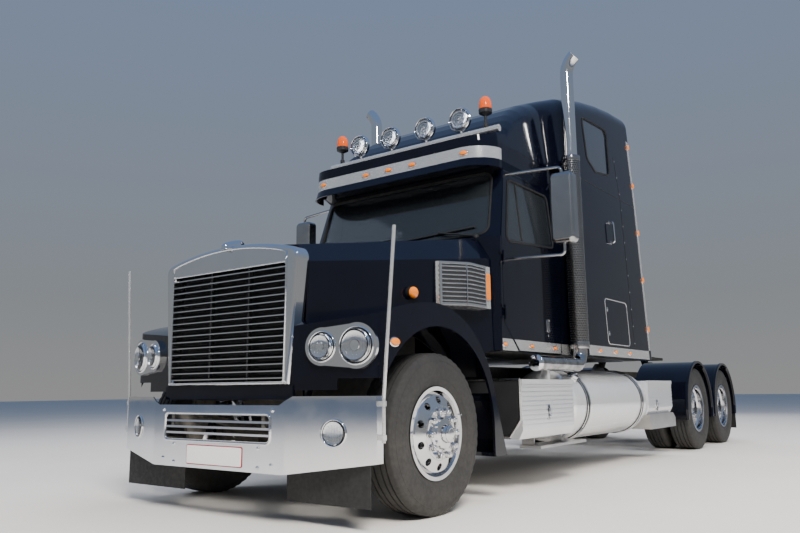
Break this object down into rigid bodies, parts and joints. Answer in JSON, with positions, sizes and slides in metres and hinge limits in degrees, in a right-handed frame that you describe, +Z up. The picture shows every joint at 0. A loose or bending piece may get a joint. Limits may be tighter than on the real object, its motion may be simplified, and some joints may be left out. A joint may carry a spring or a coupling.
{
  "type": "semi truck tractor unit",
  "caption": "Long-nose road tractor with tilting hood, opening doors, steered front axle, raised-roof sleeper, tandem drive axles and a rocking fifth wheel.",
  "frame": {"origin": "on the ground under the middle of the truck", "axes": "+Z up, +Y from the bumper to the tail, +X to the truck's own left"},
  "size_m": [3.129, 8.92, 4.0377],
  "materials": {
    "body_paint": "gloss",
    "frame_paint": "satin",
    "cast_parts": "matte",
    "radiator_core": "matte",
    "chrome_trim": "polished",
    "bright_aluminium": "polished",
    "tyre_rubber": "matte",
    "flap_rubber": "matte",
    "window_glass": "tinted",
    "lamp_glass": "clear",
    "amber_lens": "gloss",
    "red_lens": "gloss",
    "cab_trim": "matte",
    "seat_cloth": "woven"
  },
  "bodies": {
    "root": {"frame_rails": "frame_paint", "crossmembers": "frame_paint", "engine_block": "cast_parts", "radiator": "radiator_core", "driveline": "cast_parts", "front_axle_beam": "cast_parts", "suspension": "cast_parts", "nose_brackets": "frame_paint", "bumper": "chrome_trim", "fog_lamps": "lamp_glass", "guide_poles": "chrome_trim", "mudflaps": "flap_rubber", "cab_shell": "body_paint", "windshield": "window_glass", "sleeper_shell": "body_paint", "roof_cap": "body_paint", "sleeper_windows": "window_glass", "visor_band": "chrome_trim", "sun_visor": "body_paint", "light_bar": "chrome_trim", "driving_lamps": "lamp_glass", "beacons": "amber_lens", "exhaust_pipes": "chrome_trim", "stack_shields": "chrome_trim", "fuel_tanks": "bright_aluminium", "tank_straps": "frame_paint", "side_boxes": "bright_aluminium", "cab_steps": "bright_aluminium", "rear_fenders": "body_paint", "rear_bar": "frame_paint", "tail_lamps": "red_lens", "fifth_wheel_base": "frame_paint", "dashboard": "cab_trim", "seats": "seat_cloth"},
    "hood": {"hood_shell": "body_paint", "grille_surround": "chrome_trim", "grille_bars": "chrome_trim", "headlights": "lamp_glass", "side_intakes": "chrome_trim"},
    "cab_door_left": {"door_left": "body_paint", "door_window_left": "window_glass", "mirror_left": "chrome_trim"},
    "cab_door_right": {"door_right": "body_paint", "door_window_right": "window_glass", "mirror_right": "chrome_trim"},
    "knuckle_left": {"knuckle_left": "cast_parts"},
    "knuckle_right": {"knuckle_right": "cast_parts"},
    "wheel_front_left": {"tyre_front_left": "tyre_rubber", "rim_front_left": "bright_aluminium"},
    "wheel_front_right": {"tyre_front_right": "tyre_rubber", "rim_front_right": "bright_aluminium"},
    "wheels_fore_left": {"tyres_fore_left": "tyre_rubber", "rims_fore_left": "bright_aluminium"},
    "wheels_fore_right": {"tyres_fore_right": "tyre_rubber", "rims_fore_right": "bright_aluminium"},
    "wheels_aft_left": {"tyres_aft_left": "tyre_rubber", "rims_aft_left": "bright_aluminium"},
    "wheels_aft_right": {"tyres_aft_right": "tyre_rubber", "rims_aft_right": "bright_aluminium"},
    "coupling_plate": {"fifth_wheel_plate": "cast_parts"}
  },
  "joints": [
    {"name": "hood_tilt", "type": "hinge", "parent": "root", "child": "hood", "pos_m": [0, -4.33, 0.8], "axis": [1, 0, 0], "range_deg": [0, 68]},
    {"name": "door_left_swing", "type": "hinge", "parent": "root", "child": "cab_door_left", "pos_m": [1.064, -2.438, 1.8], "axis": [0, 0, -1], "range_deg": [0, 70]},
    {"name": "door_right_swing", "type": "hinge", "parent": "root", "child": "cab_door_right", "pos_m": [-1.064, -2.438, 1.8], "axis": [0, 0, 1], "range_deg": [0, 70]},
    {"name": "steer_left", "type": "hinge", "parent": "root", "child": "knuckle_left", "pos_m": [0.88, -3.6, 0.518], "axis": [0, 0, 1], "range_deg": [-35, 35]},
    {"name": "steer_right", "type": "hinge", "parent": "root", "child": "knuckle_right", "pos_m": [-0.88, -3.6, 0.518], "axis": [0, 0, 1], "range_deg": [-35, 35]},
    {"name": "spin_front_left", "type": "hinge", "parent": "knuckle_left", "child": "wheel_front_left", "pos_m": [1.045, -3.6, 0.518], "axis": [1, 0, 0], "continuous": true},
    {"name": "spin_front_right", "type": "hinge", "parent": "knuckle_right", "child": "wheel_front_right", "pos_m": [-1.045, -3.6, 0.518], "axis": [1, 0, 0], "continuous": true},
    {"name": "spin_fore_left", "type": "hinge", "parent": "root", "child": "wheels_fore_left", "pos_m": [0.9065, 2.4755, 0.518], "axis": [1, 0, 0], "continuous": true},
    {"name": "spin_fore_right", "type": "hinge", "parent": "root", "child": "wheels_fore_right", "pos_m": [-0.9065, 2.4755, 0.518], "axis": [1, 0, 0], "continuous": true},
    {"name": "spin_aft_left", "type": "hinge", "parent": "root", "child": "wheels_aft_left", "pos_m": [0.9065, 3.7925, 0.518], "axis": [1, 0, 0], "continuous": true},
    {"name": "spin_aft_right", "type": "hinge", "parent": "root", "child": "wheels_aft_right", "pos_m": [-0.9065, 3.7925, 0.518], "axis": [1, 0, 0], "continuous": true},
    {"name": "plate_tilt", "type": "hinge", "parent": "root", "child": "coupling_plate", "pos_m": [0, 3.134, 1.13], "axis": [1, 0, 0], "range_deg": [-10, 10]}
  ],
  "couplings": [
    {"joint": "steer_right", "follows": "steer_left", "ratio": 1}
  ]
}
